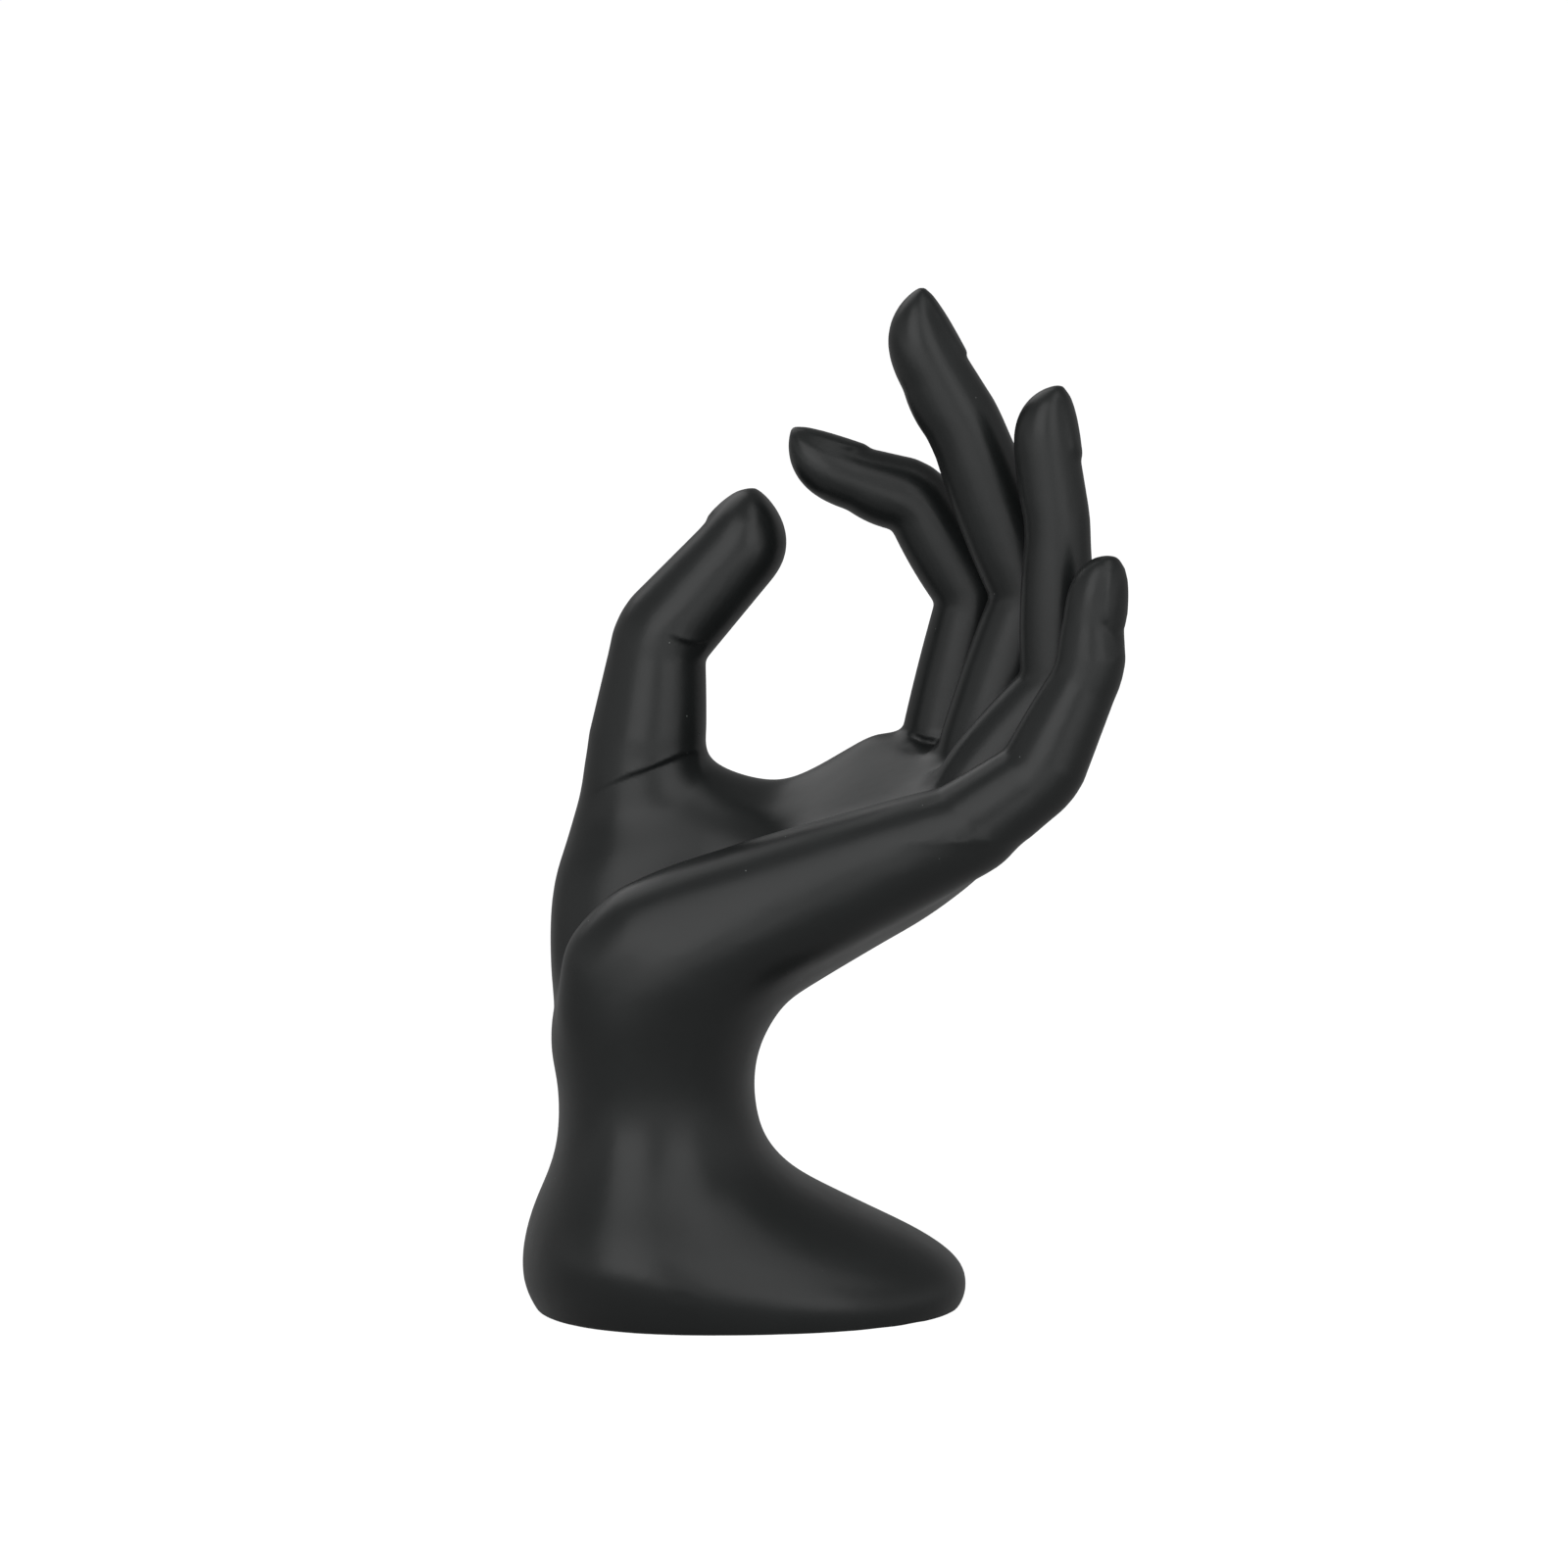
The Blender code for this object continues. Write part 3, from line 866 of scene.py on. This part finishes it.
@dataclass(frozen=True)
class WhiteFloor:
    """Matt white paper, which the eye sees as plain white with a trace of the hand's shadow on it.

    lift is the light added where the camera sees it. Where the hand mirrors it, the light added
    grows towards the camera, from mirrored_near to mirrored_front over the span front of Y, in
    metres. So the hand is lit from low in front, as in the photograph.
    """

    paper: str = "#9C9C9C"
    lift: float = 0.93
    mirrored_near: float = 0.1
    mirrored_front: float = 1.0
    front: Span = (-0.15, -0.6)

    def material(self) -> bpy.types.Material:
        """Makes the material."""
        material, tree = new_material("matt_white_paper")
        path = add_node(tree, "ShaderNodeLightPath")
        mirrored = add_node(tree, "ShaderNodeMath", {
            0: path.outputs["Is Glossy Ray"],
            1: path.outputs["Is Transmission Ray"]}, operation="MAXIMUM")
        place = add_node(tree, "ShaderNodeSeparateXYZ", {
            "Vector": add_node(tree, "ShaderNodeTexCoord").outputs["Object"]})
        level = add_node(tree, "ShaderNodeMapRange", {
            "Value": place.outputs["Y"], "From Min": self.front[0], "From Max": self.front[1],
            "To Min": self.mirrored_near, "To Max": self.mirrored_front})
        dimmed = add_node(tree, "ShaderNodeMath", {
            0: mirrored.outputs[0], 1: level.outputs["Result"]}, operation="MULTIPLY")
        power = add_node(tree, "ShaderNodeMath", {
            0: path.outputs["Is Camera Ray"], 1: self.lift,
            2: dimmed.outputs[0]}, operation="MULTIPLY_ADD")
        glow = add_node(tree, "ShaderNodeEmission", {"Strength": power.outputs[0]})
        paper = add_node(tree, "ShaderNodeBsdfDiffuse", {"Color": linear(self.paper)})
        both = add_node(tree, "ShaderNodeAddShader", {0: glow.outputs[0], 1: paper.outputs[0]})
        add_node(tree, "ShaderNodeOutputMaterial", {"Surface": both.outputs[0]})
        return material


@dataclass(frozen=True)
class Softbox:
    """A rectangular studio light that faces the hand.

    place and size (width, height) are in metres, and power is in watts. AIM is the hand's middle.
    """

    name: str
    place: Point
    size: tuple[float, float]
    power: float

    AIM: ClassVar[Point] = (0.0, 0.0, 0.08)

    def build(self) -> bpy.types.Object:
        """Makes the light."""
        deselect()
        bpy.ops.object.light_add(type="AREA", location=self.place)
        lamp = bpy.context.object
        lamp.name = self.name
        lamp.data.shape = "RECTANGLE"
        lamp.data.size, lamp.data.size_y = self.size
        lamp.data.energy = self.power
        lamp.rotation_mode = "QUATERNION"
        lamp.rotation_quaternion = (Vector(self.AIM) - lamp.location).to_track_quat("-Z", "Y")
        return lamp


@dataclass(frozen=True)
class Studio:
    """The floor, the lights and the pale room round the hand.

    The room's brightness is room. Along the span behind of the direction's Y it goes over to
    room_behind, and along the span above of its Z it is multiplied down to room_above of that. The
    camera itself sees plain white. floor_size is in metres.
    """

    floor: WhiteFloor
    softboxes: tuple[Softbox, ...]
    room: float = 0.5
    room_behind: float = 0.27
    room_above: float = 0.5
    behind: Span = (-0.1, 0.5)
    above: Span = (0.25, 0.6)
    floor_size: float = 24.0

    def build(self) -> None:
        """Makes the floor, the lights and the world."""
        deselect()
        bpy.ops.mesh.primitive_plane_add(size=self.floor_size)
        ground = bpy.context.object
        ground.name = "studio_floor"
        ground.data.materials.append(self.floor.material())
        for box in self.softboxes:
            box.build()
        world = bpy.data.worlds.new("pale_room")
        bpy.context.scene.world = world
        world.use_nodes = True
        tree = world.node_tree
        tree.nodes.clear()
        path = add_node(tree, "ShaderNodeLightPath")
        way = add_node(tree, "ShaderNodeSeparateXYZ", {
            "Vector": add_node(tree, "ShaderNodeTexCoord").outputs["Generated"]})
        level = add_node(tree, "ShaderNodeMapRange", {
            "Value": way.outputs["Y"], "From Min": self.behind[0], "From Max": self.behind[1],
            "To Min": self.room, "To Max": self.room_behind})
        height = add_node(tree, "ShaderNodeMapRange", {
            "Value": way.outputs["Z"], "From Min": self.above[0], "From Max": self.above[1],
            "To Min": 1.0, "To Max": self.room_above})
        strength = add_node(tree, "ShaderNodeMath", {
            0: level.outputs["Result"], 1: height.outputs["Result"]}, operation="MULTIPLY")
        room = add_node(tree, "ShaderNodeBackground", {
            "Color": (1, 1, 1, 1), "Strength": strength.outputs[0]})
        white = add_node(tree, "ShaderNodeBackground", {"Color": (1, 1, 1, 1), "Strength": 1.0})
        mixed = add_node(tree, "ShaderNodeMixShader", {
            0: path.outputs["Is Camera Ray"], 1: room.outputs[0], 2: white.outputs[0]})
        add_node(tree, "ShaderNodeOutputWorld", {"Surface": mixed.outputs[0]})
        bpy.context.scene.view_settings.view_transform = "Standard"


ARM = Arm((
    Section((-31.6, -3.0), (31.0, -3.0), 26.6, 0.08, 0.0, 2.35),
    Section((-33.6, 0.0), (33.7, 0.0), 28.2, 0.08, 0.0, 2.35),
    Section((-35.2, 3.0), (34.8, 3.0), 29.2, 0.12, 0.0, 2.35),
    Section((-35.6, 6.0), (33.6, 6.0), 29.2, 0.18, 0.0, 2.35),
    Section((-35.1, 10.2), (28.0, 10.2), 28.0, 0.26, 0.0, 2.35),
    Section((-33.6, 15.3), (17.6, 15.3), 25.6, 0.24, 0.0, 2.3),
    Section((-31.4, 20.3), (8.0, 20.3), 23.2, 0.16),
    Section((-29.9, 25.5), (3.0, 25.5), 21.2, 0.08),
    Section((-29.6, 30.6), (1.4, 30.6), 20.0, 0.02),
    Section((-29.9, 35.7), (1.0, 35.7), 19.8, 0.0),
    Section((-31.0, 40.8), (2.0, 40.8), 20.4, 0.0),
    Section((-30.8, 50.0), (3.8, 44.2), 21.5, 0.0, 1.5, 2.3, 0.08),
    Section((-26.4, 59.3), (6.0, 47.4), 22.8, 0.0, 5.5, 2.3, 0.16),
    Section((-17.3, 67.6), (9.0, 49.4), 23.4, 0.0, 8.0, 2.3, 0.26),
    Section((-5.0, 72.0), (12.9, 51.9), 23.6, 0.0, 8.0, 2.3, 0.32),
    Section((5.6, 75.8), (20.4, 56.4), 23.6, 0.0, 5.0, 2.3, 0.34),
    Section((16.3, 78.8), (28.8, 61.4), 23.4, 0.0, 2.5, 2.3, 0.33),
    Section((27.0, 81.0), (37.4, 68.4), 22.4, 0.0, 1.2, 2.3, 0.30),
    Section((32.6, 82.0), (40.8, 74.6), 20.0, 0.0, 0.6, 2.3, 0.25),
))
MOUND = ThumbMound((
    MoundSection((-19.0, 8.0, 36.0), 9.5, 10.0, 9.0),
    MoundSection((-18.5, 9.0, 46.0), 12.2, 12.0, 10.5),
    MoundSection((-15.0, 12.0, 56.0), 16.4, 15.0, 12.5),
    MoundSection((-12.0, 13.5, 64.0), 18.8, 15.0, 12.8),
    MoundSection((-10.5, 14.5, 70.0), 18.8, 14.0, 12.4),
    MoundSection((-11.0, 16.0, 75.0), 17.3, 11.5, 11.2),
    MoundSection((-13.0, 17.0, 79.5), 14.3, 7.8, 9.4),
    MoundSection((-14.0, 17.2, 82.5), 12.4, 6.2, 8.4),
))
SKINS = (
    Skin("thumb_web", ((-14.0, 17.0, 76.0, 8.0), (-9.5, 18.5, 77.8, 6.0), (5.0, 19.5, 73.2, 6.2),
                       (-8.0, 13.0, 62.0, 12.0), (1.0, 10.0, 63.0, 9.0), (9.0, 7.0, 64.5, 9.5))),
    Skin("index_root", ((5.6, 19.5, 73.0, 6.2), (21.5, 17.2, 80.4, 7.2), (30.5, 16.0, 80.0, 8.0),
                        (2.0, 10.0, 63.5, 9.0), (12.0, 12.0, 66.0, 9.0), (16.0, 0.0, 67.8, 9.5),
                        (28.0, -2.0, 73.5, 8.5))),
    Skin("little_finger_edge", (
        (-21.5, -9.5, 47.5, 8.5), (-20.0, -10.5, 54.8, 9.2), (-15.5, -10.8, 58.4, 10.0),
        (-9.5, -11.0, 60.8, 10.3), (4.0, -12.0, 64.3, 11.4), (23.5, -15.0, 72.6, 9.1),
        (34.6, -17.0, 77.1, 7.4))),
)
FINGERS = (
    Finger("index", (30.3, 17.0, 77.1), (8.2, 7.4, 6.8), (
        Bone(32.6, 80.5, 6.2, 6.2, 6.1, 0.3),
        Bone(17.6, 121.0, 6.0, 5.8, 5.8, 0.3),
        Bone(22.2, 161.0, 5.3, 5.0, 5.5, 0.4),
    ), tip_length=12.5, tip_lift=0.85, nail=Nail(12.4)),
    Finger("middle", (34.0, 5.5, 78.2), (6.8, 7.2, 6.8), (
        Bone(34.1, 72.0, 6.6, 6.6, 6.1, 0.4),
        Bone(27.7, 112.0, 6.2, 5.9, 5.9, 0.4),
        Bone(23.2, 118.0, 5.9, 5.3, 5.8, 0.4),
    ), tip_length=13.0, tip_lift=0.8, nail=Nail(12.8)),
    Finger("ring", (32.7, -5.4, 79.3), (6.2, 7.2, 6.4), (
        Bone(24.0, 50.0, 6.0, 6.0, 5.7, 0.4),
        Bone(24.8, 90.5, 5.2, 5.1, 5.4, 0.4),
        Bone(21.9, 97.0, 5.4, 4.7, 5.3, 0.2),
    ), tip_length=11.0, tip_lift=0.6, nail=Nail(11.6), roll=-10.0),
    Finger("pinky", (32.0, -17.0, 76.2), (7.6, 8.0, 7.2), (
        Bone(15.8, 36.0, 6.5, 6.8, 6.2, 0.0),
        Bone(17.7, 64.0, 5.4, 5.3, 5.3, 0.2),
        Bone(18.4, 84.0, 5.0, 4.2, 4.9, 0.1),
    ), tip_length=10.5, tip_lift=0.4, nail=Nail(11.4, spread=math.radians(42)), roll=-35.0),
    Finger("thumb", (-18.5, 15.0, 50.0), (7.0, 7.0, 7.0), (
        Bone(29.9, 86.0, 9.6, 10.2, 9.4, 0.0),
        Bone(22.6, 83.0, 7.3, 8.1, 7.5, 0.2),
        Bone(27.8, 49.4, 7.0, 6.7, 7.2, 0.0),
    ), tip_length=10.5, tip_lift=0.6, nail=Nail(9.5), lean=1.5, roll=-32.0, bends_back=True),
)
STROKES = (
    Stroke("crease at the root of the thumb",
           ((714, 767), (702, 769), (690, 773), (660, 785), (640, 792), (620, 801), (596, 812)),
           depth=0.35, rise=0.25, width=2.6, ends=(0.15, 0.4)),
    Stroke("crease of the thumb's upper joint", ((724, 655), (706, 656), (690, 651), (676, 641)),
           depth=0.25, rise=0.25, width=2.0, ends=(0.2, 0.5)),
    Stroke("slot at the root of the index finger", ((958, 755), (944, 753), (926, 747)),
           depth=1.2, rise=0.3, width=1.4, ends=(0.1, 0.4)),
)
STUDIO = Studio(WhiteFloor(), (
    Softbox("front_left_softbox", (-0.6, -1.15, 0.84), (1.15, 1.5), 6.2),
    Softbox("front_right_softbox", (0.66, -1.1, 0.78), (0.9, 1.35), 3.6),
    Softbox("back_softbox", (-0.5, 0.75, 0.95), (0.9, 1.0), 2.1),
    Softbox("top_softbox", (0.61, -0.35, 1.4), (0.8, 0.8), 1.5),
))


def main() -> None:
    """Builds the casting and its studio, and reports each piece."""
    logging.basicConfig(level=logging.INFO, format="%(message)s")
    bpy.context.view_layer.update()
    view = PhotoView()
    view.build()
    hand = Casting(ARM, MOUND, SKINS, FINGERS, STROKES).build(view)
    hand.data.materials.clear()
    hand.data.materials.append(SatinResin().material())
    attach(hand, "root")
    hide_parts(CASTING_NODE)
    log.info("%s: %d faces", hand.name, len(hand.data.polygons))
    STUDIO.build()


if __name__ == "__main__":
    main()
